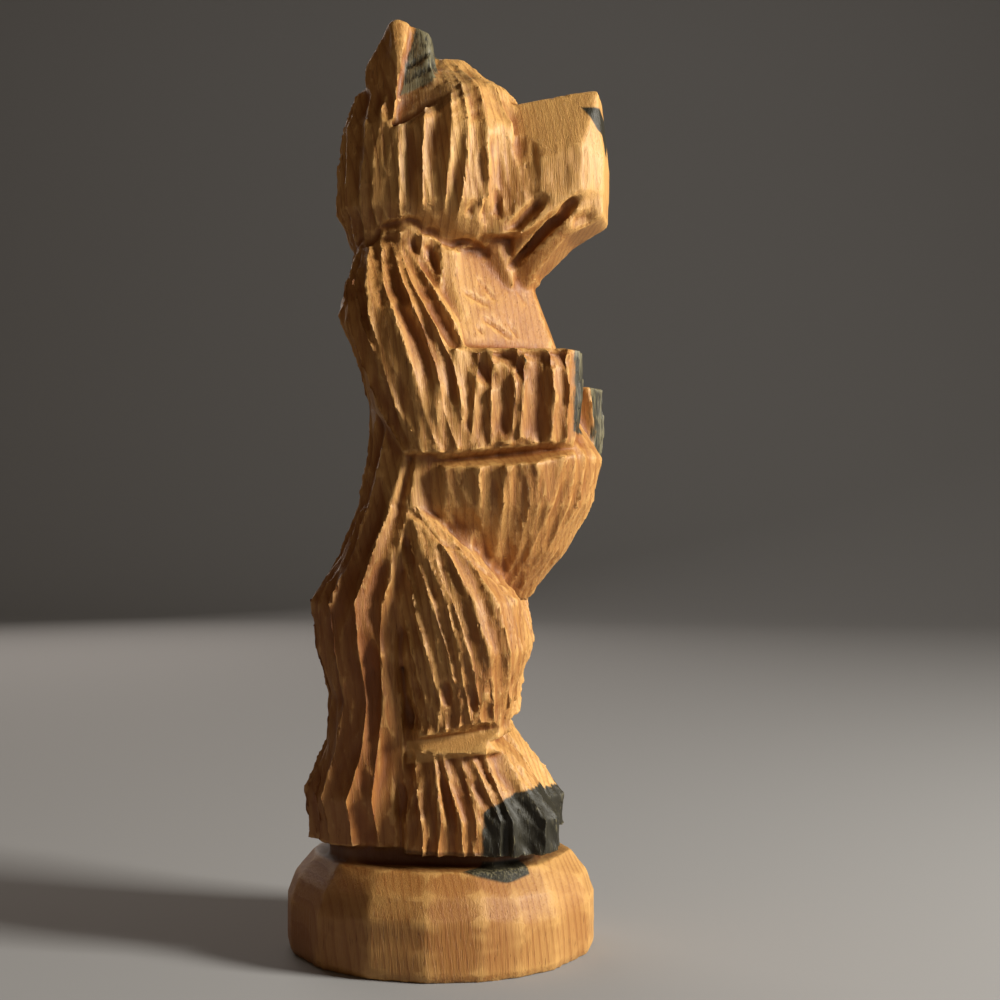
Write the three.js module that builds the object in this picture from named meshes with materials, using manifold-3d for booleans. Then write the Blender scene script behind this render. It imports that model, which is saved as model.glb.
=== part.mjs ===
// A carved wooden bear that stands upright on a low plinth, bear and plinth cut from one billet.
// Millimetres, +Z up. The bear faces -Y, so its right side is at -X. The origin is the middle of the
// plinth's underside. Rough blocks and bodies with gouged fur are joined, and stop cuts part them.
import * as THREE from 'three';
import { ConvexGeometry } from 'three/addons/geometries/ConvexGeometry.js';
import { LoftGeometry } from 'three/addons/geometries/LoftGeometry.js';
import { mergeVertices } from 'three/addons/utils/BufferGeometryUtils.js';
import Module from 'manifold-3d';

const wasm = await Module();
wasm.setup();

// Driving dimensions
const PLINTH_LENGTH = 84;
const PLINTH_WIDTH = 79;
const PLINTH_HEIGHT = 26.5;
const PLINTH_SHOULDER = 15;
const PLINTH_BEVEL = 7.5;
const PLINTH_CHAMFER = 1;
const PLINTH_FACETS = 18;
const BEVEL_ROUNDING = 0.3;
const SOLE = 31;
const ANKLE = 58;
const WAIST = 122;
const ELBOW = 133;
const WRIST = 160;
const NECK = 189;
const CROWN = 239;
const EAR_TIP = 247.3;
const NOSE_REACH = 45.4;
const BELLY_REACH = 43.5;
const PAW_REACH = 40.5;
const LEFT_PAW_ADVANCE = 3;
const LEFT_PAW_DROP = 8;
const LEFT_LEG_ADVANCE = -2.5;
const WOOD_COLOUR = 0xb87a3c;

// The gouge: points across one flute as [share of its width, share of its depth], the height of one ring,
// how unevenly the ridges are set and how far they wander, in flute widths, the length of that wander,
// how unevenly the strokes start, how uneven the depth is, and the most depth for a flute's width.
const FLUTE = [[0, 0], [0.32, 0.9], [0.68, 0.9]];
const RING_HEIGHT = 13;
const OUTLINE_POINTS = 24;
const RIDGE_JITTER = 0.34;
const RIDGE_WANDER = 0.2;
const WANDER_LENGTH = 65;
const STROKE_JITTER = 0.2;
const DEPTH_JITTER = 0.35;
const DEEPEST = 0.42;

// The knife on the plinth: unevenness of the facets' turn and bevel, as shares, and of their shoulder.
const FACET_JITTER = 0.3;
const BEVEL_JITTER = 0.15;
const SHOULDER_JITTER = 1.2;

// Places around an outline, as shares of a turn from the left side
const LEFT = 0;
const BACK = 0.25;
const RIGHT = 0.5;
const FRONT = 0.75;

// Furred bodies. Their stations are level cuts: [up, back, front, inner side, outer side]. A body on the
// middle runs from side to side, and a limb is given for one side. Flutes are counted around the body,
// a stroke is the length of one gouge cut, a slant carries the flutes forward on the way down, and a
// toe-in narrows the body towards its front. Crowding is how much narrower the flutes are on the dense
// side, which is a limb's outer side.
const middle = (up, back, front, half) => [up, back, front, -half, half];
const TRUNK = {
  stations: [
    middle(SOLE, -36, 2, 28),
    middle(SOLE + 3, -40, 2, 31),
    middle(SOLE + 17, -34.5, 2, 31.5),
    middle(64, -29.8, 2, 30),
    middle(80, -33.5, 2, 31.5),
    middle(91, -36.5, 3, 32.5),
    middle(106, -27.5, 5, 30.5),
    middle(WAIST, -21.2, 8, 27.5),
    middle(150, -20.5, 12, 26),
    middle(165, -26.3, 14, 26.5),
    middle(175, -28.5, 14, 25.5),
    middle(NECK - 4, -24, 14, 21),
    middle(NECK + 7, -22, 14, 18),
  ],
  flutes: 24,
  dense: BACK,
  crowding: 0.1,
  depth: 2.8,
  stroke: 48,
  roundness: 2.4,
};
const BELLY = {
  stations: [
    middle(93.5, -2, 24, 5),
    middle(103, -10, 32.5, 15),
    middle(112, -13, 38.5, 22),
    middle(121, -15, 42.5, 27),
    middle(130, -15, BELLY_REACH + 0.7, 29),
    middle(138, -15, BELLY_REACH, 29),
    middle(145, -15, 36, 25),
  ],
  flutes: 26,
  dense: FRONT,
  crowding: 0.25,
  depth: 1.6,
  stroke: 38,
  roundness: 2.4,
};
const HEAD = {
  stations: [
    middle(NECK - 1, -24, 19, 20),
    middle(NECK + 4, -27.5, 24, 23.5),
    middle(206, -28.2, 27, 25.5),
    middle(218, -27, 26, 25),
    middle(228, -24.5, 22, 22.5),
    middle(CROWN - 4, -20, 17, 17),
    middle(CROWN, -15, 12, 10),
    middle(CROWN + 1.5, -10, 7, 5),
  ],
  flutes: 28,
  depth: 2.2,
  stroke: 40,
  roundness: 2.5,
};
const LEG = {
  stations: [
    [ANKLE - 2, -5, 21, 4.5, 31],
    [ANKLE + 6, -6, 22.5, 4.5, 31.5],
    [72, -6, 24.5, 3.5, 32],
    [84, -7, 27, 3, 33.5],
    [97, -7, 23.5, 2, 33],
    [104, -7, 18, 2, 32],
    [112, -7, 9, 2, 30],
    [121, -7, -2, 4, 27],
  ],
  flutes: 17,
  crowding: 0.3,
  depth: 1.8,
  stroke: 36,
  roundness: 3,
  slant: 0.25,
};
const FOOT = {
  stations: [
    [SOLE - 1, -8, 35, 6, 33],
    [SOLE + 5, -8, 36.5, 6, 34],
    [41, -7.5, 34.5, 6, 33],
    [47, -7, 29.5, 6, 32],
    [52, -6, 25, 5, 31],
    [ANKLE - 1, -5, 21, 5, 30],
  ],
  flutes: 17,
  crowding: 0.25,
  depth: 2,
  roundness: 3.2,
  toeIn: 0.15,
};
const UPPER_ARM = {
  stations: [
    [ELBOW, -8, 15, 6, 31],
    [142, -14, 16, 6, 32],
    [155, -19, 15, 6, 32],
    [167, -23, 10, 6, 30.5],
    [178, -24, 4, 6, 27],
    [NECK, -20, -3, 6, 20],
  ],
  flutes: 15,
  crowding: 0.25,
  depth: 2.4,
  stroke: 42,
  roundness: 2.8,
  slant: 0.1,
};
const FOREARM = {
  stations: [
    [ELBOW + 2, 5, PAW_REACH - 1.5, 6, 30.5],
    [145, 5, PAW_REACH, 6, 31.5],
    [155, 5, PAW_REACH, 6, 31.5],
    [WRIST, 5, PAW_REACH - 0.5, 6, 31],
  ],
  flutes: 17,
  crowding: 0.25,
  depth: 2,
  roundness: 4.5,
  toeIn: 0.22,
};

// Rough blocks, each the hull of a few boxes: [inner, outer, back, front, low, high].
const across = (half, back, front, low, high) => [-half, half, back, front, low, high];
const STEM = [
  across(17, -27, 27, PLINTH_HEIGHT - 3, SOLE + 3),
  across(24, -20, 18, PLINTH_HEIGHT - 3, SOLE + 3),
];
const CORE = [
  across(12, -12, 15, SOLE, 60),
  across(22, -12, 12, 104, 150),
  across(15, -18, 2, 170, 215),
];
const THROAT = [
  across(13, -2, 16, NECK + 3, NECK + 12),
  across(9, -2, 21, 178, NECK),
];
const MUZZLE = [
  across(10, 12, 22, 212, 224.5),
  across(17, 14, 24, 190.5, 208),
  across(14, 30, 40, 202, 214),
  across(9, 40, NOSE_REACH, 202, 211),
  across(7.5, 40, 43.5, 224, 229.5),
];
const JAW = [
  across(9, 38, NOSE_REACH - 0.3, 196, 206),
  across(13, 32, 38, 194, 204),
  across(11.5, 22, 29.5, 188, 200),
  across(5, 18, 24, 177.5, 190),
];
const CHEST = [
  across(18, -4, 3, NECK - 2, NECK),
  across(3, 10, 24, 176, 182),
  across(23, -4, 12, 158, 162),
  across(4, 14, 31.5, 140, 162),
];
const EAR = [
  [16, 19, -10, -7.5, EAR_TIP - 2, EAR_TIP],
  [12, 14.5, -2.5, -0.3, 241.5, 244.3],
  [20, 22.5, -9, -6, 236, 238],
  [11, 21, -8, 3, 216, 224],
  [10, 17, -18, -15, 230, 235],
];

// Stop cuts, each a wedge: two ends of its bottom edge, and the way from it to its two mouth edges, all
// as [side, forward, up].
const ANKLE_NOTCH = { ends: [[26.5, -6, 58.5], [22.5, 34, 65]], mouth: [[16, 0, 4], [16, 0, -18]] };
const SHIN_NOTCH = { ends: [[0, 17.5, 59], [36, 16.5, 59]], mouth: [[0, 16, 5], [0, 16, -12]] };
const ELBOW_NOTCH = { ends: [[26, -6, 130], [14, 46, 135.5]], mouth: [[20, 0, 5], [20, 0, -8]] };
const HAUNCH_GROOVE = { ends: [[28, -6.5, 125], [23.5, -6, 28]], mouth: [[14, 5.5, 0], [14, -7, 0]] };
const EAR_HOLLOW = { ends: [[14.5, -5, 252], [20, -9.5, 217]], mouth: [[0, 20, 13], [16, 4, 4]] };
const MOUTH = { ends: [[9.5, 38.5, 199.5], [7, 21, 183]], mouth: [[16, -2.5, 5], [16, 2.5, -5]] };
const NAPE_NOTCH = { ends: [[0, -23, 187.5], [20, -21.5, 190]], mouth: [[0, -14, 10], [0, -14, -8]] };
const NECK_NOTCH = { ends: [[19.5, -24, 190], [19, -2, 193]], mouth: [[14, 0, 5], [14, 0, -9]] };
const CHEEK_CUT = { ends: [[19, -3, 192.5], [11, 17, 184]], mouth: [[14, 0, 13], [14, 0, -3]] };
const CHIN_NOTCH = { ends: [[0, 35.5, 190.5], [14, 35.5, 190.5]], mouth: [[0, 18, 9.5], [0, -12, -13]] };

const WELD = 1e-3;
const UPWARD = new THREE.Vector3(0, 0, 1);
const at = (side, forward, up) => new THREE.Vector3(side, -forward, up);

// A repeatable stand-in for the carver's hand: a number from -1 to 1 for each call.
const HAND_FACTOR = 16807;
const HAND_RANGE = 2147483647;
let handState = 7;
function hand() {
  handState = (handState * HAND_FACTOR) % HAND_RANGE;
  return (handState / HAND_RANGE) * 2 - 1;
}

function solidOf({ attributes, index }) {
  const bare = new THREE.BufferGeometry().setAttribute('position', attributes.position).setIndex(index);
  const merged = mergeVertices(bare, WELD);
  return new wasm.Manifold(
    new wasm.Mesh({
      numProp: 3,
      vertProperties: new Float32Array(merged.attributes.position.array),
      triVerts: new Uint32Array(merged.index.array),
    }),
  );
}

function geometryOf(solid) {
  const { vertProperties, triVerts } = solid.getMesh();
  return new THREE.BufferGeometry()
    .setAttribute('position', new THREE.BufferAttribute(vertProperties, 3))
    .setIndex(new THREE.BufferAttribute(triVerts, 1));
}

const loft = (sections) => solidOf(new LoftGeometry(sections, { capStart: true, capEnd: true }));

// The outline of a body at one level, a rounded box, counterclockwise from above.
function outline(up, [back, front, inner, outer], { roundness, toeIn = 0 }, mirror) {
  const bulge = (value) => Math.sign(value) * Math.abs(value) ** (2 / roundness);
  const points = [];
  for (let k = 0; k < OUTLINE_POINTS; k++) {
    const angle = (2 * Math.PI * k) / OUTLINE_POINTS;
    const share = (1 - bulge(Math.sin(angle))) / 2;
    const side = (mirror * (inner + outer) + (outer - inner) * bulge(Math.cos(angle))) / 2;
    points.push(at(side * (1 - toeIn * share), back + (front - back) * share, up));
  }
  return new THREE.CatmullRomCurve3(points, true);
}

// A body with fur: rings of flutes with sharp ridges, each flute as deep as its gouge stroke is there.
function furred(body, mirror = 1, advance = 0, drop = 0) {
  const { stations, flutes, crowding = 0, depth, stroke, slant = 0 } = body;
  const dense = body.dense ?? (mirror < 0 ? RIGHT : LEFT);
  const levels = stations.map(([up]) => up);
  const spans = stations.flatMap(([, back, front, inner, outer]) => [back, front, inner, outer]);
  const shape = new THREE.CubicInterpolant(levels, spans, 4);
  const ridges = Array.from({ length: flutes }, (_, k) => ({
    place: k + RIDGE_JITTER * hand(),
    wander: hand(),
    phase: (k % 2) / 2 + STROKE_JITTER * hand(),
    depth: depth * (1 + DEPTH_JITTER * hand()),
  }));
  const low = levels[0];
  const high = levels.at(-1);
  const rings = Math.ceil((high - low) / RING_HEIGHT);
  const sections = [];
  for (let ring = 0; ring <= rings; ring++) {
    const up = low + ((high - low) * ring) / rings;
    const curve = outline(up, shape.evaluate(up), body, mirror);
    const girth = curve.getLength();
    const turn = (-mirror * slant * (high - up)) / girth;
    const ridgeAt = (k) => {
      const { place, wander } = ridges[k % flutes];
      const swing = RIDGE_WANDER * Math.sin(2 * Math.PI * (up / WANDER_LENGTH + wander));
      return place + swing + (k < flutes ? 0 : flutes);
    };
    const points = [];
    for (let k = 0; k < flutes; k++) {
      const cut = stroke ? Math.sqrt(Math.abs(Math.sin(Math.PI * (up / stroke + ridges[k].phase)))) : 1;
      const dip = Math.min(ridges[k].depth * cut, (DEEPEST * girth) / flutes);
      for (const [share, sink] of FLUTE) {
        const even = THREE.MathUtils.lerp(ridgeAt(k), ridgeAt(k + 1), share) / flutes + turn;
        const crowded = even - (crowding * Math.sin(2 * Math.PI * (even - dense))) / (2 * Math.PI);
        const around = THREE.MathUtils.euclideanModulo(crowded, 1);
        const inward = curve.getTangentAt(around).applyAxisAngle(UPWARD, Math.PI / 2);
        const point = curve.getPointAt(around).addScaledVector(inward, sink * dip);
        points.push(point.add(at(0, advance, -drop)));
      }
    }
    sections.push(points);
  }
  return loft(sections);
}

// The hull of a list of boxes, as a block is roughed out with a saw.
function block(boxes, mirror = 1) {
  const corners = [];
  for (const [inner, outer, back, front, low, high] of boxes) {
    for (const side of [inner, outer]) {
      for (const forward of [back, front]) {
        for (const up of [low, high]) {
          corners.push(at(mirror * side, forward, up));
        }
      }
    }
  }
  return solidOf(new ConvexGeometry(corners));
}

// A stop cut's wedge, from its bottom edge out past the surface.
function wedge({ ends, mouth }, mirror, advance = 0, drop = 0) {
  const corners = [];
  for (const [side, forward, up] of ends) {
    for (const [out, ahead, rise] of [[0, 0, 0], ...mouth]) {
      corners.push(at(mirror * (side + out), forward + ahead + advance, up + rise - drop));
    }
  }
  return solidOf(new ConvexGeometry(corners));
}

// The plinth is a knife-cut disc whose facets are all a little different.
function plinth() {
  const facets = Array.from({ length: PLINTH_FACETS }, (_, k) => {
    const angle = (2 * Math.PI * (k + FACET_JITTER * hand())) / PLINTH_FACETS;
    const bevel = PLINTH_BEVEL * (1 + BEVEL_JITTER * hand());
    return { angle, bevel, shoulder: PLINTH_SHOULDER + SHOULDER_JITTER * hand() };
  });
  const level = (inset, up) =>
    facets.map((facet) =>
      at(
        (PLINTH_WIDTH / 2 - inset(facet)) * Math.cos(facet.angle),
        -(PLINTH_LENGTH / 2 - inset(facet)) * Math.sin(facet.angle),
        up(facet),
      ),
    );
  return loft([
    level(() => PLINTH_CHAMFER, () => 0),
    level(() => 0, () => 2 * PLINTH_CHAMFER),
    level(() => 0, (facet) => facet.shoulder),
    level((facet) => BEVEL_ROUNDING * facet.bevel, (facet) => (facet.shoulder + PLINTH_HEIGHT) / 2),
    level((facet) => facet.bevel, () => PLINTH_HEIGHT),
  ]);
}

const masses = [furred(TRUNK), furred(BELLY), furred(HEAD)];
masses.push(block(CORE), block(THROAT), block(MUZZLE), block(JAW), block(CHEST));
const stops = [];
for (const mirror of [-1, 1]) {
  const isLeft = mirror > 0;
  const paw = isLeft ? [LEFT_PAW_ADVANCE, LEFT_PAW_DROP] : [0, 0];
  const step = isLeft ? LEFT_LEG_ADVANCE : 0;
  masses.push(furred(LEG, mirror, step), furred(FOOT, mirror, step));
  masses.push(furred(UPPER_ARM, mirror), furred(FOREARM, mirror, ...paw));
  masses.push(block(EAR, mirror));
  stops.push(wedge(ANKLE_NOTCH, mirror, step), wedge(SHIN_NOTCH, mirror, step));
  stops.push(wedge(ELBOW_NOTCH, mirror, ...paw), wedge(HAUNCH_GROOVE, mirror));
  stops.push(wedge(NAPE_NOTCH, mirror), wedge(NECK_NOTCH, mirror));
  stops.push(wedge(CHEEK_CUT, mirror), wedge(CHIN_NOTCH, mirror));
  stops.push(wedge(EAR_HOLLOW, mirror), wedge(MOUTH, mirror));
}
const carved = wasm.Manifold.difference([wasm.Manifold.union(masses), ...stops]);
const whole = wasm.Manifold.union([plinth(), block(STEM), carved]);

const bear = new THREE.Mesh(
  geometryOf(whole),
  new THREE.MeshStandardMaterial({ color: WOOD_COLOUR, roughness: 0.6, metalness: 0 }),
);
bear.name = 'carved_bear';

const carving = new THREE.Group();
carving.add(bear);
export default carving;
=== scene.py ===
"""A wooden bear that stands on a low plinth, both carved from one billet with gouge and knife.

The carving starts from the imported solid. It is cut over with finer gouge strokes and chips, and gets one
wood finish with painted nose, ears, paws and toes. Lengths on the carving are in millimetres: side is the
distance from the middle plane, forward the way the bear faces, and up the height over the underside.
"""
import math

import bpy
import numpy as np
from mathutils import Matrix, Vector, noise
from mathutils.kdtree import KDTree


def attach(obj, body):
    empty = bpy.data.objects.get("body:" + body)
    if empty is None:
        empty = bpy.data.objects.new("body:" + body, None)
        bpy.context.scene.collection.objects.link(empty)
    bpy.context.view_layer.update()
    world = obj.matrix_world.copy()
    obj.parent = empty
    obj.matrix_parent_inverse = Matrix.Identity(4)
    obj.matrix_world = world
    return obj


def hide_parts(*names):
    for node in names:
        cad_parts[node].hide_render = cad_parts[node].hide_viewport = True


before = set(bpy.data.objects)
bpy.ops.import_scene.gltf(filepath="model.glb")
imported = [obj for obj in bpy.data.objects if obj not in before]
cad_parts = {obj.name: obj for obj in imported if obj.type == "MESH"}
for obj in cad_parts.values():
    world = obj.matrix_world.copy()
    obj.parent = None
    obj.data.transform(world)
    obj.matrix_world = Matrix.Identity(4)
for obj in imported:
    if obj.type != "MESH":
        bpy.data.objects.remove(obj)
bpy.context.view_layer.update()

MM = 0.001

# The picture: the bear's right side, seen level from a little ahead of square
VIEW_AZIMUTH = math.radians(-82)
VIEW_TARGET = Vector((0, -0.0163, 0.121))
VIEW_DISTANCE = 0.45
VIEW_WIDTH = 0.2717
SENSOR_WIDTH = 36
CLIP_START = 0.01

# The working mesh: its grid, the triangles that it is thinned to, the distance within which points are
# merged, and the angle below which edges are shaded smooth
GRID = 0.6
TRIANGLES = 190000
MERGE_DISTANCE = 0.001
SMOOTH_ANGLE = math.radians(34)

# Rounding the flutes: the rounds, the furthest that a point moves, the bend that makes a ridge, and how
# freely a ridge still moves
SOFTENING_ROUNDS = 14
SOFTENING_LIMIT = 0.45
RIDGE_BEND = 0.07
RIDGE_FREEDOM = 0.04

# Rounds of averaging that find the crests, find the wide hollows, and even the cutting directions and lines
CREST_ROUNDS = 3
HOLLOW_ROUNDS = 40
NORMAL_ROUNDS = 8
LINE_ROUNDS = 8

# Strokes: how many starts are tried, how they are spread, and how a stroke walks, waves and stops
START_TRIALS = 4000
LEAST_STRETCH = 0.2
WALK_STEP = 0.8
WAVE_LENGTH = 30
LEAST_HEADING = 0.2
ZONE_MARGIN = 0.8

# Forms of strokes: the least length in widths, how bluntly they swell, and the share of the width at their
# ends. A single cut has a share of its depth at its ends, and deepens from there at a rate.
SLIMMEST = 1.3
SWELLING = 0.4
END_WIDTH = 0.4
LINE_END = 0.3
LINE_TAPER = 4

# Chips on the ridges and torn fibres on the fur, which starts at the bear's foot
CHIP_DEPTH = 0.9
CHIP_SCALE = np.array((0.5, 0.5, 0.35))
CHIP_SHARE = 0.1
CHIP_BEND = 0.12
CHIP_START = 0.3
TEAR_DEPTH = 0.2
TEAR_SCALE = np.array((0.75, 0.75, 0.2))
FUR_FOOT = 27

rng = np.random.default_rng(11)


def activate(piece):
    """Makes one object the only selected and active one, for the operators."""
    bpy.ops.object.select_all(action="DESELECT")
    piece.select_set(True)
    bpy.context.view_layer.objects.active = piece


def apply_modifier(piece, kind, **settings):
    """Adds one modifier with its settings and applies it."""
    activate(piece)
    modifier = piece.modifiers.new(kind.title(), kind)
    for name, value in settings.items():
        setattr(modifier, name, value)
    bpy.ops.object.modifier_apply(modifier=modifier.name)


class Surface:
    """The vertices of a mesh as arrays in millimetres, to be softened and cut."""

    def __init__(self, mesh):
        self.mesh = mesh
        self.count = len(mesh.vertices)
        flat = np.empty(self.count * 3, np.float32)
        mesh.vertices.foreach_get("co", flat)
        self.points = flat.reshape(-1, 3).astype(float) / MM
        ends = np.empty(len(mesh.edges) * 2, np.int32)
        mesh.edges.foreach_get("vertices", ends)
        self.tails, self.heads = ends.reshape(-1, 2).T
        self.valence = np.bincount(ends, minlength=self.count)[:, None]
        self.store()

    def store(self):
        """Writes the points to the mesh and reads its normals."""
        self.mesh.vertices.foreach_set("co", (self.points * MM).astype(np.float32).ravel())
        self.mesh.update()
        flat = np.empty(self.count * 3, np.float32)
        self.mesh.vertices.foreach_get("normal", flat)
        self.normals = flat.reshape(-1, 3).astype(float)

    def average(self, values):
        """The mean of each vertex's neighbours."""
        columns = []
        for column in values.T:
            total = np.bincount(self.tails, column[self.heads], self.count)
            total += np.bincount(self.heads, column[self.tails], self.count)
            columns.append(total)
        return np.stack(columns, 1) / self.valence

    def softened(self, rounds):
        """The points after some rounds of even softening."""
        points = self.points
        for _ in range(rounds):
            points = (points + self.average(points)) / 2
        return points

    def hollowness(self, rounds):
        """How far each point lies below its softened surroundings; below zero on a ridge."""
        return ((self.softened(rounds) - self.points) * self.normals).sum(1)

    def sink(self, depths):
        """Moves the points inwards, the same way on both sides of a thin ridge."""
        ways = self.normals
        for _ in range(NORMAL_ROUNDS):
            ways = (ways + self.average(ways)) / 2
        ways = ways / np.linalg.norm(ways, axis=1, keepdims=True)
        self.points = self.points - ways * depths[:, None]
        self.store()

    def places(self):
        """Side, forward and up of every point."""
        side, back, up = self.points.T
        return np.abs(side), -back, up


def scoop_flutes(surface):
    """Rounds the flutes' flat bottoms and leaves the ridges between them sharp."""
    bend = surface.hollowness(CREST_ROUNDS)
    freedom = np.clip(1 + bend / RIDGE_BEND, RIDGE_FREEDOM, 1)[:, None] / 2
    sharp = surface.points
    soft = sharp
    for _ in range(SOFTENING_ROUNDS):
        soft = soft + freedom * (surface.average(soft) - soft)
    surface.points = sharp + np.clip(soft - sharp, -SOFTENING_LIMIT, SOFTENING_LIMIT)
    surface.store()


def down(slant):
    """Strokes that run down, and forward by a slant."""
    return lambda point: Vector((0, -slant, -1))


def away_from(forward, up):
    """Strokes that fan out from a line across the body."""
    return lambda point: Vector((0, point.y + forward, point.z - up))


def towards(forward, up):
    """Strokes that run together to a line across the body."""
    return lambda point: Vector((0, -forward - point.y, up - point.z))


def rising(slope):
    """Strokes that run forward, and up by a slope."""
    return lambda point: Vector((0, -1, slope))


def level(point):
    """Strokes that run around the plinth."""
    return Vector((-point.y, point.x, 0))


# Gouge work: where it is, as spans of side, forward and up, which way the strokes run, their widths,
# depths and lengths as spans, how far they wave, and how close they lie, in stroke widths.
GOUGE_WORK = [
    dict(zone=[(0, 30), (-32, 12), (193, 222)], flow=down(0.1), width=(3.2, 5), depth=(0.4, 1.1),
         length=(12, 26), wave=0.1, spacing=0.9),
    dict(zone=[(12, 25), (11, 27), (196, 216)], flow=down(0.12), width=(3, 4.6), depth=(0.5, 1.3),
         length=(9, 18), wave=0.05, spacing=0.9),
    dict(zone=[(0, 11), (-24, 15), (226, 242)], flow=down(0.0), width=(3, 5), depth=(0.4, 1.1),
         length=(8, 16), wave=0.1, spacing=0.9),
    dict(zone=[(11, 25), (-22, -9), (221, 244)], flow=down(0.1), width=(3, 5), depth=(0.4, 1.0),
         length=(8, 18), wave=0.1, spacing=0.9),
    dict(zone=[(10, 25), (-8, 14), (218, 238)], flow=rising(0.6), width=(2, 4), depth=(0.3, 0.8),
         length=(6, 16), wave=0.05, spacing=0.9),
    dict(zone=[(8, 22), (13, 20), (219, 231)], flow=down(0.5), width=(4, 6), depth=(0.5, 1.1),
         length=(6, 11), wave=0.0, spacing=0.9),
    dict(zone=[(15, 36), (-26, 2), (172, 188)], flow=down(0.3), width=(3, 5.5), depth=(0.4, 1.2),
         length=(14, 36), wave=0.2, spacing=0.9),
    dict(zone=[(19, 36), (-26, 8), (136, 174)], flow=down(0.34), width=(4, 6.5), depth=(0.5, 1.4),
         length=(18, 40), wave=0.25, spacing=0.9),
    dict(zone=[(8, 36), (12, 42), (136, 157)], flow=down(0.03), width=(3, 4.5), depth=(0.25, 0.7),
         length=(8, 20), wave=0.05, spacing=0.9),
    dict(zone=[(0, 32), (6, 46), (98, 130)], flow=towards(26, 60), width=(2.5, 4.5), depth=(0.4, 1.1),
         length=(12, 30), wave=0.06, spacing=0.9),
    dict(zone=[(2, 36), (-5, 30), (72, 118)], flow=down(0.3), width=(2.4, 4), depth=(0.4, 1.1),
         length=(12, 28), wave=0.1, spacing=0.9),
    dict(zone=[(2, 36), (-4, 30), (63, 76)], flow=down(0.1), width=(2.5, 4.5), depth=(0.7, 1.7),
         length=(5, 10), wave=0.0, spacing=0.8),
    dict(zone=[(2, 36), (-4, 36), (31, 52)], flow=away_from(2, 68), width=(2.5, 5), depth=(0.4, 1.1),
         length=(8, 18), wave=0.05, spacing=0.9),
    dict(zone=[(0, 36), (-44, -9), (32, 132)], flow=down(0.0), width=(5, 9), depth=(0.6, 1.8),
         length=(20, 50), wave=0.3, spacing=0.9),
    dict(zone=[(0, 30), (-34, -14), (130, 188)], flow=down(0.0), width=(4.5, 7.5), depth=(0.5, 1.4),
         length=(16, 38), wave=0.25, spacing=0.9),
    dict(zone=[(9, 18), (24, 41), (203, 214)], flow=down(0.02), width=(2.4, 3.8), depth=(0.15, 0.4),
         length=(6, 12), wave=0.03, spacing=0.9),
    dict(zone=[(3, 22), (12, 28), (165, 180)], flow=down(0.9), width=(1, 1.8), depth=(0.2, 0.45),
         length=(3, 7), wave=0.0, spacing=5.0),
    dict(zone=[(0, 40), (-42, 42), (2, 25)], flow=level, width=(8, 12), depth=(0.1, 0.25),
         length=(12, 18), wave=0.0, spacing=0.7),
]

# Single cuts, the same on both sides, as points of side, forward and up on the surface or outside it.
# They are grooves over the thigh, at the neck and in the mouth, three scoops behind the mouth, one on the
# jaw, four at the tops of the forearm's flutes, two nicks below it and three on the chest. Cuts on the arm
# move along with the left forearm. The roundness of a cut is that of a V-tool's groove or a gouge's scoop.
LEFT_ARM = Vector((0, -3, -8))
GROOVE, SCOOP = 1, 2
CUTS = [
    dict(points=[(29, -6, 120), (31, 6, 113), (26, 18, 103), (12, 25, 96)],
         width=3, depth=1.3, roundness=GROOVE),
    dict(points=[(20, -22, 189.5), (22, -12, 191.5), (22.5, -3, 193), (19, 6, 189.5), (14, 14, 185.5)],
         width=3.2, depth=1.5, roundness=SCOOP),
    dict(points=[(13.5, 38.5, 199.5), (11.5, 30, 191.5), (9.5, 21, 183)],
         width=3.4, depth=2, roundness=GROOVE),
    dict(points=[(18, 29.6, 199.7), (20, 22.2, 191.6)], width=4.8, depth=2.4, roundness=SCOOP),
    dict(points=[(23, 20.4, 198.6), (23, 17, 192.6)], width=3.8, depth=1.9, roundness=SCOOP),
    dict(points=[(25, 14.5, 197), (24, 12.5, 193)], width=3, depth=1.3, roundness=SCOOP),
    dict(points=[(13, 42.5, 195.5), (13, 39.5, 193.5)], width=4.8, depth=1.8, roundness=SCOOP),
    dict(points=[(30.8, 12, 161), (30.6, 18, 151.5)], width=6.5, depth=2, roundness=SCOOP, arm=True),
    dict(points=[(30.3, 20.5, 161), (29.5, 26, 153.5)], width=5.5, depth=1.8, roundness=SCOOP, arm=True),
    dict(points=[(28.6, 28.5, 161), (28, 31.5, 156)], width=4.5, depth=1.5, roundness=SCOOP, arm=True),
    dict(points=[(26.6, 34, 161), (25.6, 38, 156)], width=4.5, depth=1.5, roundness=SCOOP, arm=True),
    dict(points=[(28, 19, 134), (27.5, 22.5, 134.5)], width=2.6, depth=0.8, roundness=SCOOP, arm=True),
    dict(points=[(27, 24, 134.5), (26.5, 27, 135)], width=2.6, depth=0.8, roundness=SCOOP, arm=True),
    dict(points=[(20, 17, 169.5), (16, 23, 165)], width=1.8, depth=0.7, roundness=GROOVE),
    dict(points=[(20, 10.7, 176), (17, 16, 173)], width=1.8, depth=0.6, roundness=GROOVE),
    dict(points=[(16, 16, 178), (15, 17.6, 175)], width=1.6, depth=0.5, roundness=GROOVE),
]


def in_zone(point, zone):
    """Whether a point lies in a zone or just beside it."""
    places = (abs(point.x), -point.y, point.z)
    return all(low - ZONE_MARGIN < place < high + ZONE_MARGIN for place, (low, high) in zip(places, zone))


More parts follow.
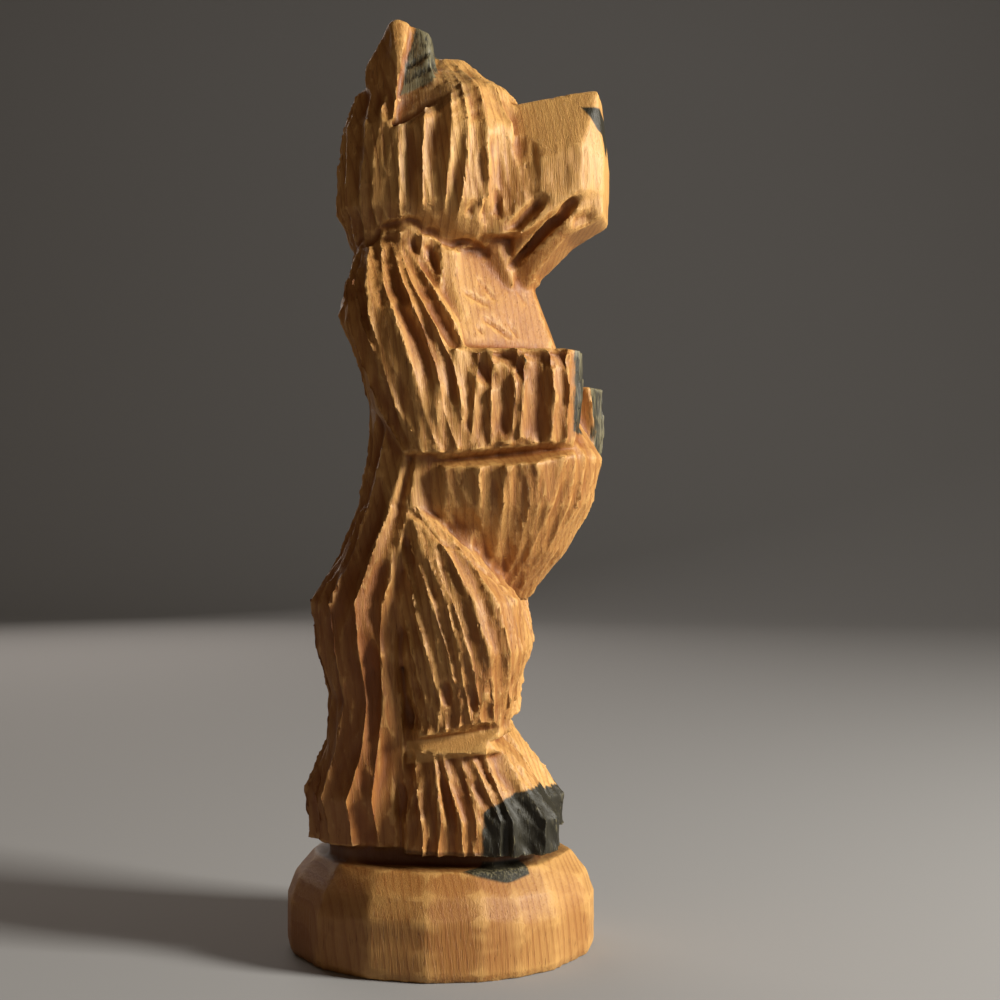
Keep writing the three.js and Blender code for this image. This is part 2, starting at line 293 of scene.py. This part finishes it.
class Gouge:
    """Cuts strokes into a surface. Strokes are laid first, and the deepest one counts at each point."""

    def __init__(self, surface):
        self.surface = surface
        self.points = [Vector(point) for point in surface.points]
        self.normals = [Vector(normal) for normal in surface.normals]
        self.tree = KDTree(surface.count)
        for index, point in enumerate(self.points):
            self.tree.insert(point, index)
        self.tree.balance()
        self.sink = np.zeros(surface.count)

    def starts(self, work):
        """Starting points spread over a zone, further apart along the strokes than across them."""
        inside = np.ones(self.surface.count, bool)
        for values, (low, high) in zip(self.surface.places(), work["zone"]):
            inside &= (values > low) & (values < high)
        width = sum(work["width"]) / 2
        along = width / (sum(work["length"]) / 2)
        reach = work["spacing"] * width
        stretch = np.array([1, 1, max(along, LEAST_STRETCH)])
        order = rng.permutation(np.flatnonzero(inside))[:START_TRIALS]
        taken = {}
        chosen = []
        for index in order:
            place = self.surface.points[index] * stretch
            cell = tuple(np.floor(place / reach).astype(int))
            near = [taken.get((cell[0] + i, cell[1] + j, cell[2] + k))
                    for i in (-1, 0, 1) for j in (-1, 0, 1) for k in (-1, 0, 1)]
            if all(other is None or np.abs(other - place).sum() > reach for other in near):
                taken[cell] = place
                chosen.append(index)
        return chosen

    def walk(self, index, work, length):
        """Follows the surface from one vertex along the flow, waving a little on the way."""
        point = self.points[index]
        phase = rng.uniform(0, 2 * math.pi)
        path = []
        for step in range(max(2, round(length / WALK_STEP))):
            _, near, _ = self.tree.find(point)
            normal = self.normals[near]
            point = point - normal * (point - self.points[near]).dot(normal)
            if not in_zone(point, work["zone"]):
                break
            path.append(point)
            heading = work["flow"](point).normalized()
            swing = work["wave"] * math.sin(phase + step * WALK_STEP * 2 * math.pi / WAVE_LENGTH)
            heading = heading + normal.cross(heading) * swing
            heading = heading - normal * heading.dot(normal)
            if heading.length < LEAST_HEADING:
                break
            point = point + heading.normalized() * WALK_STEP
        return path

    def press(self, point, half, depth, roundness):
        """Sinks the points around one place on a stroke."""
        for _, index, distance in self.tree.find_range(point, half):
            sink = depth * (1 - (distance / half) ** roundness)
            if sink > self.sink[index]:
                self.sink[index] = sink

    def work_over(self, work):
        """Gouges one zone with strokes that swell and run out to points."""
        for index in self.starts(work):
            path = self.walk(index, work, rng.uniform(*work["length"]))
            half = rng.uniform(*work["width"]) / 2
            depth = rng.uniform(*work["depth"])
            if len(path) * WALK_STEP < SLIMMEST * 2 * half:
                continue
            for step, point in enumerate(path):
                swell = math.sin(math.pi * (step + 0.5) / len(path)) ** SWELLING
                self.press(point, half * (END_WIDTH + (1 - END_WIDTH) * swell), depth * swell, SCOOP)

    def score(self, line):
        """Makes one cut on both sides of the bear, along a path that is evened on the surface."""
        for mirror in (-1, 1):
            corners = [Vector((mirror * side, -forward, up)) for side, forward, up in line["points"]]
            if mirror > 0 and line.get("arm"):
                corners = [corner + LEFT_ARM for corner in corners]
            path = []
            for start, end in zip(corners, corners[1:]):
                steps = max(2, round((end - start).length / WALK_STEP))
                path += [self.tree.find(start.lerp(end, step / steps))[0] for step in range(steps + 1)]
            for _ in range(LINE_ROUNDS):
                middle = zip(path, path[1:], path[2:])
                inner = [(before + here * 2 + after) / 4 for before, here, after in middle]
                path = [path[0], *inner, path[-1]]
            for step, point in enumerate(path):
                share = (step + 0.5) / len(path)
                taper = min(1, LINE_END + LINE_TAPER * share, LINE_END + LINE_TAPER * (1 - share))
                self.press(point, line["width"] / 2, line["depth"] * taper, line["roundness"])


def chip_ridges(surface):
    """Breaks small chips from the sharpest ridges and tears the fibres a little."""
    bend = surface.hollowness(CREST_ROUNDS)
    sharp = np.clip(-bend / CHIP_BEND - CHIP_START, 0, 1)
    chips = np.zeros(surface.count)
    for index, place in enumerate(surface.points):
        if sharp[index] > 0:
            chip = max(0.0, noise.noise(place * CHIP_SCALE) + CHIP_SHARE)
            chips[index] = CHIP_DEPTH * sharp[index] * chip
        if place[2] > FUR_FOOT:
            chips[index] += TEAR_DEPTH * max(0.0, noise.noise(place * TEAR_SCALE))
    surface.sink(chips)


def carve():
    """The carving: a copy of the solid, remeshed evenly, cut over, and thinned where it is plain."""
    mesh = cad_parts["carved_bear"].data.copy()
    mesh.materials.clear()
    bear = bpy.data.objects.new("bear_carving", mesh)
    bpy.context.scene.collection.objects.link(bear)
    activate(bear)
    bpy.ops.object.mode_set(mode="EDIT")
    bpy.ops.mesh.select_all(action="SELECT")
    bpy.ops.mesh.remove_doubles(threshold=MERGE_DISTANCE * MM)
    bpy.ops.object.mode_set(mode="OBJECT")
    apply_modifier(bear, "REMESH", mode="VOXEL", voxel_size=GRID * MM)
    surface = Surface(bear.data)
    scoop_flutes(surface)
    gouge = Gouge(surface)
    for work in GOUGE_WORK:
        gouge.work_over(work)
    for line in CUTS:
        gouge.score(line)
    surface.sink(gouge.sink)
    chip_ridges(surface)
    bear.data.calc_loop_triangles()
    apply_modifier(bear, "DECIMATE", ratio=TRIANGLES / len(bear.data.loop_triangles))
    thinned = Surface(bear.data)
    for name, rounds in (("crest", CREST_ROUNDS), ("hollow", HOLLOW_ROUNDS)):
        layer = bear.data.attributes.new(name, "FLOAT", "POINT")
        layer.data.foreach_set("value", thinned.hollowness(rounds).astype(np.float32))
    activate(bear)
    bpy.ops.object.shade_smooth_by_angle(angle=SMOOTH_ANGLE)
    return bear


class Value:
    """A shader socket that takes part in sums."""

    def __init__(self, finish, socket):
        self.finish = finish
        self.socket = socket

    def math(self, operation, first, second):
        return self.finish.node("ShaderNodeMath", {"operation": operation}, {0: first, 1: second})

    def __add__(self, other):
        return self.math("ADD", self, other)

    def __sub__(self, other):
        return self.math("SUBTRACT", self, other)

    def __rsub__(self, other):
        return self.math("SUBTRACT", other, self)

    def __mul__(self, other):
        return self.math("MULTIPLY", self, other)

    def __truediv__(self, other):
        return self.math("DIVIDE", self, other)

    def __abs__(self):
        return self.math("ABSOLUTE", self, 0)

    __radd__ = __add__
    __rmul__ = __mul__


class Finish:
    """A material's nodes."""

    def __init__(self, name):
        self.material = bpy.data.materials.new(name)
        self.material.use_nodes = True
        self.tree = self.material.node_tree
        self.tree.nodes.clear()

    def node(self, kind, settings, inputs, output=0):
        """Adds a node: its settings first, then the values or links of its sockets."""
        node = self.tree.nodes.new(kind)
        for name, value in settings.items():
            setattr(node, name, value)
        for name, value in inputs.items():
            if isinstance(value, Value):
                self.tree.links.new(value.socket, node.inputs[name])
            else:
                node.inputs[name].default_value = value
        return Value(self, node.outputs[output]) if node.outputs else None

    def ramp(self, value, low, high):
        """0 below low, 1 above high and smooth between them."""
        return self.node("ShaderNodeMapRange", {"interpolation_type": "SMOOTHSTEP"},
                         {"Value": value, "From Min": low, "From Max": high})

    def mix(self, mask, first, second):
        """From the first colour to the second as the mask rises."""
        return self.node("ShaderNodeMix", {"data_type": "RGBA"},
                         {"Factor": mask, 6: first, 7: second}, output=2)

    def stretched_noise(self, place, scale, detail, roughness=0.55, output=0):
        """Noise whose size differs by direction."""
        stretched = self.node("ShaderNodeVectorMath", {"operation": "MULTIPLY"}, {0: place, 1: scale})
        return self.node("ShaderNodeTexNoise", {}, {"Vector": stretched, "Scale": 1.0,
                                                    "Detail": detail, "Roughness": roughness}, output)

    def tinted(self, colour, measure, tinting, tint):
        """The colour with a tint mixed in where a measure rises."""
        low, high, strength = tinting
        return self.mix(self.ramp(measure, low, high) * strength, colour, tint)

    def patch(self, place, edges, blur=0.4):
        """1 inside a patch with straight edges and 0 outside."""
        mask = 1
        for *weights, least in edges:
            reach = self.node("ShaderNodeVectorMath", {"operation": "DOT_PRODUCT"},
                              {0: place, 1: weights}, output="Value")
            mask = mask * self.ramp(reach, least - blur, least + blur)
        return mask


# Colours of the wood and the paint
HONEY = (0.40, 0.180, 0.045, 1)
PALE = (0.64, 0.365, 0.118, 1)
RUSSET = (0.210, 0.060, 0.010, 1)
UMBER = (0.050, 0.012, 0.002, 1)
BLACK_PAINT = (0.020, 0.017, 0.009, 1)
WORN_PAINT = (0.150, 0.130, 0.072, 1)

# Patches on the carving, each bounded by edges: weights of side, forward and up, and the least sum of the
# three. Paint patches have ragged or steady edges, are worn to some degree, and lie on one or both sides.
# A cover below 1 lets the wood show through.
RAGGED = 2.5
MIDDLE_BAND = (2, 4)
BOTH, RIGHT, LEFT = 0, -1, 1
PAINT_PATCHES = [
    dict(part="nose", edges=[(-0.44, 1, 0.75, 203.5), (-0.6, 0, 1, 212.8), (0, 0, -1, -224.7), (0, 1, 0, 34)],
         ragged=False, worn=-0.6, hand=BOTH),
    dict(part="ear", edges=[(0, 1, -0.19, -50.8), (0, -1, 0, -1.5), (0, -0.4, 1, 230), (1, 0, 0, 10)],
         ragged=True, worn=0.7, hand=BOTH),
    dict(part="below the ear", edges=[(0, 0.5, -1, -233), (0, -0.5, 1, 221), (0, 1, 0, -7), (0, -1, 0, -11),
                                      (1, 0, 0, 9)],
         ragged=True, worn=1.2, hand=BOTH, cover=0.4),
    dict(part="right paw", edges=[(0, 1, 0, 38.2), (0, 0, 1, 138.5), (0, 0, -1, -164), (1, 0, 0, 5)],
         ragged=True, worn=0.35, hand=RIGHT),
    dict(part="left paw", edges=[(0, 1, 0, 39.6), (0, 0, 1, 129.5), (0, 0, -1, -154), (1, 0, 0, 7)],
         ragged=True, worn=0.6, hand=LEFT),
    dict(part="right toes", edges=[(0, 1, 0, 16), (0, 0.6, -1, -31.6), (0, 0, -1, -46.5), (0, 0, 1, 29.5),
                                   (1, 0, 0, 4.5)],
         ragged=True, worn=0.0, hand=RIGHT),
    dict(part="left toes", edges=[(0, 1, 0, 17), (0, 0.6, -1, -29), (0, 0, -1, -41.5), (0, 0, 1, 29.5),
                                  (1, 0, 0, 4.5)],
         ragged=True, worn=0.0, hand=LEFT),
    # The arm facets are partly paint traces and partly painted shade on the flutes' top facets
    dict(part="arm facet", edges=[(0, 1.35, 1, 187), (0, -1, 0, -27), (0, 0, 1, 153.5), (1, 0.28, 0, 33.5)],
         ragged=False, worn=0.8, hand=BOTH),
    dict(part="arm facet", edges=[(0, 1, 0, 28.2), (0, -1, 0, -31.8), (0, 0, 1, 156.5), (1, 0.28, 0, 33.5)],
         ragged=False, worn=0.8, hand=BOTH),
    dict(part="arm facet", edges=[(0, 1, 0, 34.5), (0, -1, 0, -38), (0, 0, 1, 156.5), (1, 0.28, 0, 33.5)],
         ragged=False, worn=0.8, hand=BOTH),
    dict(part="drop on the plinth",
         edges=[(1, 0, 0, 19.5), (0.8, 1, 0, 34.5), (0.8, -1, 0, -9.5), (0, 0.28, 1, 29.4), (0, -0.28, 1, 17),
                (0, 0, 1, 23.4), (0, 0, -1, -28)],
         ragged=False, worn=0.25, hand=RIGHT),
]
# Patches of painted light and shade: the lit ankle ledge, painted shade in the gap over the plinth, and
# painted light on the muzzle, whose edge blurs over the last width
LIT_ANKLE_LEDGE = [(1, 0, 0, 22), (0, 1, 0, -4.5), (0, -0.16, 1, 53.6), (0, 0.16, -1, -59.3)]
UNDERCUT_SHADE = [(0, 0, 1, 26.4), (0, 0, -1, -31.2)]
LIT_MUZZLE = [(0, 1, 0, 26), (0, 0, 1, 198)]
LIT_MUZZLE_BLUR = 3

# Spans over which the fur begins above the plinth, and over which the painted shade of the lower back deepens
# backwards and fades upwards
FUR_START = (24, 32)
SHADED_BACK = (5, 16)
SHADED_BACK_TOP = (110, 150)

# Growth rings: the pith's place and lean, the width of a ring and how far it wanders, and the spans of a
# ring in which the late wood comes and goes
PITH_SIDE = -75
PITH_FORWARD = -110
PITH_LEAN = 0.14
RING_WIDTH = 1.9
RING_WANDER = 9
LATE_WOOD = (0.45, 0.92)
RING_END = (0.94, 1.0)

# Grain: the fineness of each noise by direction, and its detail
GRAIN = dict(
    wobble=dict(scale=(0.035, 0.035, 0.012), detail=2.0),
    drift=dict(scale=(0.02, 0.02, 0.008), detail=2.0),
    fibre=dict(scale=(2.2, 2.2, 0.13), detail=4.0, roughness=0.6),
    fine_fibre=dict(scale=(6.0, 6.0, 0.4), detail=3.0, roughness=0.6),
    pores=dict(scale=(3.4, 3.4, 0.28), detail=1.0),
    mottle=dict(scale=(0.16, 0.16, 0.06), detail=4.0, roughness=0.6),
    paint_edge=dict(scale=(0.6, 0.6, 0.2), detail=4.0, roughness=0.65),
)

# Tints by a measure: the span over which it takes effect, and the most of a tint that it mixes in. Fibres and
# pores stain the grain; in the hollows the tint is painted shade with some grime.
FIBRE_STAIN = (0.52, 0.75, 0.35)
PORE_STAIN = (0.66, 0.74, 0.5)
HOLLOW_SHADE_AND_GRIME = (0.0, 0.75, 0.78)
DEEP_SHADE_AND_GRIME = (0.6, 1.8, 0.8)

# Other tints: spans, and the most that is mixed in. The back and undercut tints are painted shade, the muzzle
# and ledge tints painted light, and the crest tint partly rubbed wear and partly a painted highlight.
PALE_DRIFT = (0.35, 0.65)
MOTTLING = (0.48, 0.75)
MOTTLE_TINT = 0.1
FUR_MOTTLE_TINT = 0.35
LATE_WOOD_TINT = 0.42
PLINTH_TINT = 0.2
BACK_SHADE_TINT = 0.55
MUZZLE_LIGHT_TINT = 0.35
CREST_RUB_AND_HIGHLIGHT = (0.02, 0.14)
CREST_RUB_AND_HIGHLIGHT_TINT = 0.6
SHADED_BACK_CREST_LOSS = 0.3
LEDGE_LIGHT_TINT = 0.5
LEDGE_SHADE_LIFT = 1.2
UNDERCUT_SHADE_TINT = 0.7

# Wear of the paint: the shares of a patch's wear and of the crests in it, and the span where it rubs off
WEAR_SHARE = 0.3
CREST_WEAR = 0.8
RUBBED = (0.6, 0.85)

# The waxed surface: roughness, sheen and wax, and the relief of the grain
SATIN = 0.4
FIBRE_ROUGHNESS = 0.2
SHEEN = 0.38
WAX = 0.06
WAX_ROUGHNESS = 0.35
FIBRE_RELIEF = 0.6
FINE_RELIEF = 0.35
PORE_RELIEF = 0.3
RING_RELIEF = 0.12
RELIEF_STRENGTH = 0.7
RELIEF_DEPTH = 0.45 * MM


def wood_finish():
    """Waxed light wood with growth rings, long fibres and patches of paint, painted shade with some grime in
    the hollows, painted shade on the lower back and in the gap over the plinth, crests paled by wear and a
    painted highlight, and painted light on the muzzle and ankle ledge.
    """
    finish = Finish("carved_wood")
    node, ramp, mix = finish.node, finish.ramp, finish.mix
    object_place = node("ShaderNodeTexCoord", {}, {}, output="Object")
    place = node("ShaderNodeVectorMath", {"operation": "SCALE"}, {0: object_place, "Scale": 1 / MM})
    x, y, up = (node("ShaderNodeSeparateXYZ", {}, {0: place}, output=axis) for axis in range(3))
    forward = 0 - y
    body_place = node("ShaderNodeCombineXYZ", {}, {0: abs(x), 1: forward, 2: up})

    crest = node("ShaderNodeAttribute", {"attribute_name": "crest"}, {}, output="Fac")
    hollow = node("ShaderNodeAttribute", {"attribute_name": "hollow"}, {}, output="Fac")
    # The ankle ledge loses the painted shade of the hollows and gets a painted light
    lit_ledge = finish.patch(body_place, LIT_ANKLE_LEDGE)
    hollow = hollow - lit_ledge * LEDGE_SHADE_LIFT

    wobble = finish.stretched_noise(place, **GRAIN["wobble"])
    drift = finish.stretched_noise(place, **GRAIN["drift"])
    fibre = finish.stretched_noise(place, **GRAIN["fibre"])
    fine_fibre = finish.stretched_noise(place, **GRAIN["fine_fibre"])
    pores = finish.stretched_noise(place, **GRAIN["pores"])
    mottle = finish.stretched_noise(place, **GRAIN["mottle"])

    across = x - PITH_SIDE
    along = forward - PITH_FORWARD + up * PITH_LEAN
    radius = node("ShaderNodeMath", {"operation": "SQRT"}, {0: across * across + along * along})
    rings = (radius + wobble * RING_WANDER) / RING_WIDTH
    phase = node("ShaderNodeMath", {"operation": "FRACT"}, {0: rings})
    late_wood = ramp(phase, *LATE_WOOD) * (1 - ramp(phase, *RING_END))
    furred = ramp(up, *FUR_START)
    shaded_back = ramp(0 - forward, *SHADED_BACK) * (1 - ramp(up, *SHADED_BACK_TOP))

    colour = mix(ramp(drift, *PALE_DRIFT), HONEY, PALE)
    colour = mix(ramp(mottle, *MOTTLING) * (furred * FUR_MOTTLE_TINT + MOTTLE_TINT), colour, RUSSET)
    colour = mix(late_wood * LATE_WOOD_TINT, colour, RUSSET)
    colour = finish.tinted(colour, fibre, FIBRE_STAIN, RUSSET)
    colour = finish.tinted(colour, pores, PORE_STAIN, UMBER)
    colour = mix((1 - furred) * PLINTH_TINT, colour, RUSSET)
    # Painted shade on the lower back
    colour = mix(shaded_back * BACK_SHADE_TINT, colour, RUSSET)
    # Painted light on the muzzle
    colour = mix(finish.patch(body_place, LIT_MUZZLE, LIT_MUZZLE_BLUR) * MUZZLE_LIGHT_TINT, colour, PALE)
    # Painted shade with some grime darkens the hollows, and the deepest grooves more
    colour = finish.tinted(colour, hollow, HOLLOW_SHADE_AND_GRIME, RUSSET)
    colour = finish.tinted(colour, hollow, DEEP_SHADE_AND_GRIME, UMBER)
    # Crests paled partly by rubbed wear and partly by a painted highlight, less of it on the shaded back
    colour = mix(ramp(0 - crest, *CREST_RUB_AND_HIGHLIGHT) * (CREST_RUB_AND_HIGHLIGHT_TINT - shaded_back * SHADED_BACK_CREST_LOSS), colour, PALE)
    # Painted light on the ankle ledge
    colour = mix(lit_ledge * LEDGE_LIGHT_TINT, colour, PALE)
    # Painted shade in the gap between the plinth and the body
    colour = mix(finish.patch(body_place, UNDERCUT_SHADE) * UNDERCUT_SHADE_TINT, colour, UMBER)

    paint, wear = painted(finish, place, x, body_place)
    rubbed = ramp(fibre + wear * WEAR_SHARE - crest * CREST_WEAR, *RUBBED)
    colour = mix(paint, colour, mix(rubbed, BLACK_PAINT, WORN_PAINT))

    roughness = SATIN + fibre * FIBRE_ROUGHNESS
    relief = fibre * FIBRE_RELIEF + fine_fibre * FINE_RELIEF
    relief = relief - ramp(pores, *PORE_STAIN[:2]) * PORE_RELIEF + phase * RING_RELIEF
    bump = node("ShaderNodeBump", {}, {
        "Strength": RELIEF_STRENGTH, "Distance": RELIEF_DEPTH, "Height": relief,
    })
    shader = node("ShaderNodeBsdfPrincipled", {}, {
        "Base Color": colour, "Roughness": roughness, "Normal": bump,
        "Specular IOR Level": SHEEN, "Coat Weight": WAX, "Coat Roughness": WAX_ROUGHNESS,
    })
    node("ShaderNodeOutputMaterial", {}, {"Surface": shader})
    return finish.material


def painted(finish, place, x, body_place):
    """Two masks: all the paint, and how far it is worn."""
    swirl = finish.stretched_noise(place, **GRAIN["paint_edge"], output=1)
    shifted = finish.node("ShaderNodeVectorMath", {"operation": "SUBTRACT"},
                          {0: body_place, 1: (RAGGED / 2,) * 3})
    ragged_place = finish.node("ShaderNodeVectorMath", {"operation": "MULTIPLY_ADD"},
                               {0: swirl, 1: (RAGGED,) * 3, 2: shifted})
    bare = 1
    wear = 0
    for patch in PAINT_PATCHES:
        mask = finish.patch(ragged_place if patch["ragged"] else body_place, patch["edges"])
        mask = mask * patch.get("cover", 1)
        if patch["hand"] != BOTH:
            mask = mask * finish.ramp(x * patch["hand"], *MIDDLE_BAND)
        bare = bare * (1 - mask)
        wear = wear + mask * patch["worn"]
    return 1 - bare, wear


# The stage: the floor and its sweep in metres, the lights, and the strength of the light all around
FLOOR_SIZE = 4
SWEEP_HEIGHT = 2.5
SWEEP_RADIUS = 0.8
SWEEP_STEPS = 16
FLOOR_GREY = (0.30, 0.30, 0.31, 1)
FLOOR_ROUGHNESS = 0.9
WARM = (1, 0.66, 0.4)
ROOM_STRENGTH = 0.05
LIGHTS = [
    dict(name="main_light", place=(-0.21, -0.93, 0.48), size=0.25, power=20.5, colour=(1, 0.96, 0.86)),
    dict(name="soft_light", place=(-0.9, 0.3, 0.5), size=0.8, power=0.35, colour=WARM),
    dict(name="far_light", place=(0.85, 0.55, 0.6), size=0.8, power=4, colour=(1, 0.9, 0.8)),
]


def plain(name, colour, roughness):
    """An even matt finish for the floor."""
    finish = Finish(name)
    shader = finish.node("ShaderNodeBsdfPrincipled", {}, {"Base Color": colour, "Roughness": roughness})
    finish.node("ShaderNodeOutputMaterial", {}, {"Surface": shader})
    return finish.material


def pale_floor():
    """A pale floor that sweeps up into a backdrop far behind the bear."""
    bpy.ops.object.select_all(action="DESELECT")
    bpy.ops.mesh.primitive_plane_add(size=FLOOR_SIZE, location=(0, 0, 0))
    floor = bpy.context.object
    floor.name = "floor"
    bpy.ops.object.mode_set(mode="EDIT")
    bpy.ops.mesh.select_mode(type="EDGE")
    bpy.ops.mesh.select_all(action="DESELECT")
    bpy.ops.object.mode_set(mode="OBJECT")
    for edge in floor.data.edges:
        edge.select = all(floor.data.vertices[index].co.x > 0 for index in edge.vertices)
    bpy.ops.object.mode_set(mode="EDIT")
    bpy.ops.mesh.extrude_region_move(TRANSFORM_OT_translate={"value": (0, 0, SWEEP_HEIGHT)})
    bpy.ops.object.mode_set(mode="OBJECT")
    apply_modifier(floor, "BEVEL", width=SWEEP_RADIUS, segments=SWEEP_STEPS, limit_method="ANGLE")
    activate(floor)
    bpy.ops.object.shade_smooth()
    floor.data.materials.append(plain("floor_paper", FLOOR_GREY, FLOOR_ROUGHNESS))


def area_light(name, place, size, power, colour):
    """A soft square light that shines at the middle of the bear."""
    bpy.ops.object.light_add(type="AREA", location=place)
    light = bpy.context.object
    light.name = name
    light.data.size = size
    light.data.energy = power
    light.data.color = colour
    light.rotation_euler = (VIEW_TARGET - Vector(place)).to_track_quat("-Z", "Y").to_euler()


def photo_camera():
    """The camera at the photograph's viewing angle."""
    offset = Vector((math.sin(VIEW_AZIMUTH), -math.cos(VIEW_AZIMUTH), 0)) * VIEW_DISTANCE
    bpy.ops.object.camera_add(location=VIEW_TARGET + offset)
    camera = bpy.context.object
    camera.rotation_euler = (-offset).to_track_quat("-Z", "Y").to_euler()
    camera.data.sensor_width = SENSOR_WIDTH
    camera.data.lens = SENSOR_WIDTH * VIEW_DISTANCE / VIEW_WIDTH
    camera.data.clip_start = CLIP_START
    bpy.context.scene.camera = camera


def studio():
    """The room's soft light, with the main light ahead of the bear."""
    world = bpy.data.worlds.new("studio")
    world.use_nodes = True
    background = world.node_tree.nodes["Background"]
    background.inputs["Color"].default_value = (*WARM, 1)
    background.inputs["Strength"].default_value = ROOM_STRENGTH
    bpy.context.scene.world = world
    for light in LIGHTS:
        area_light(**light)
    bpy.context.scene.view_settings.view_transform = "Standard"


photo_camera()
studio()
pale_floor()
carving = carve()
carving.data.materials.append(wood_finish())
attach(carving, "root")
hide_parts("carved_bear")
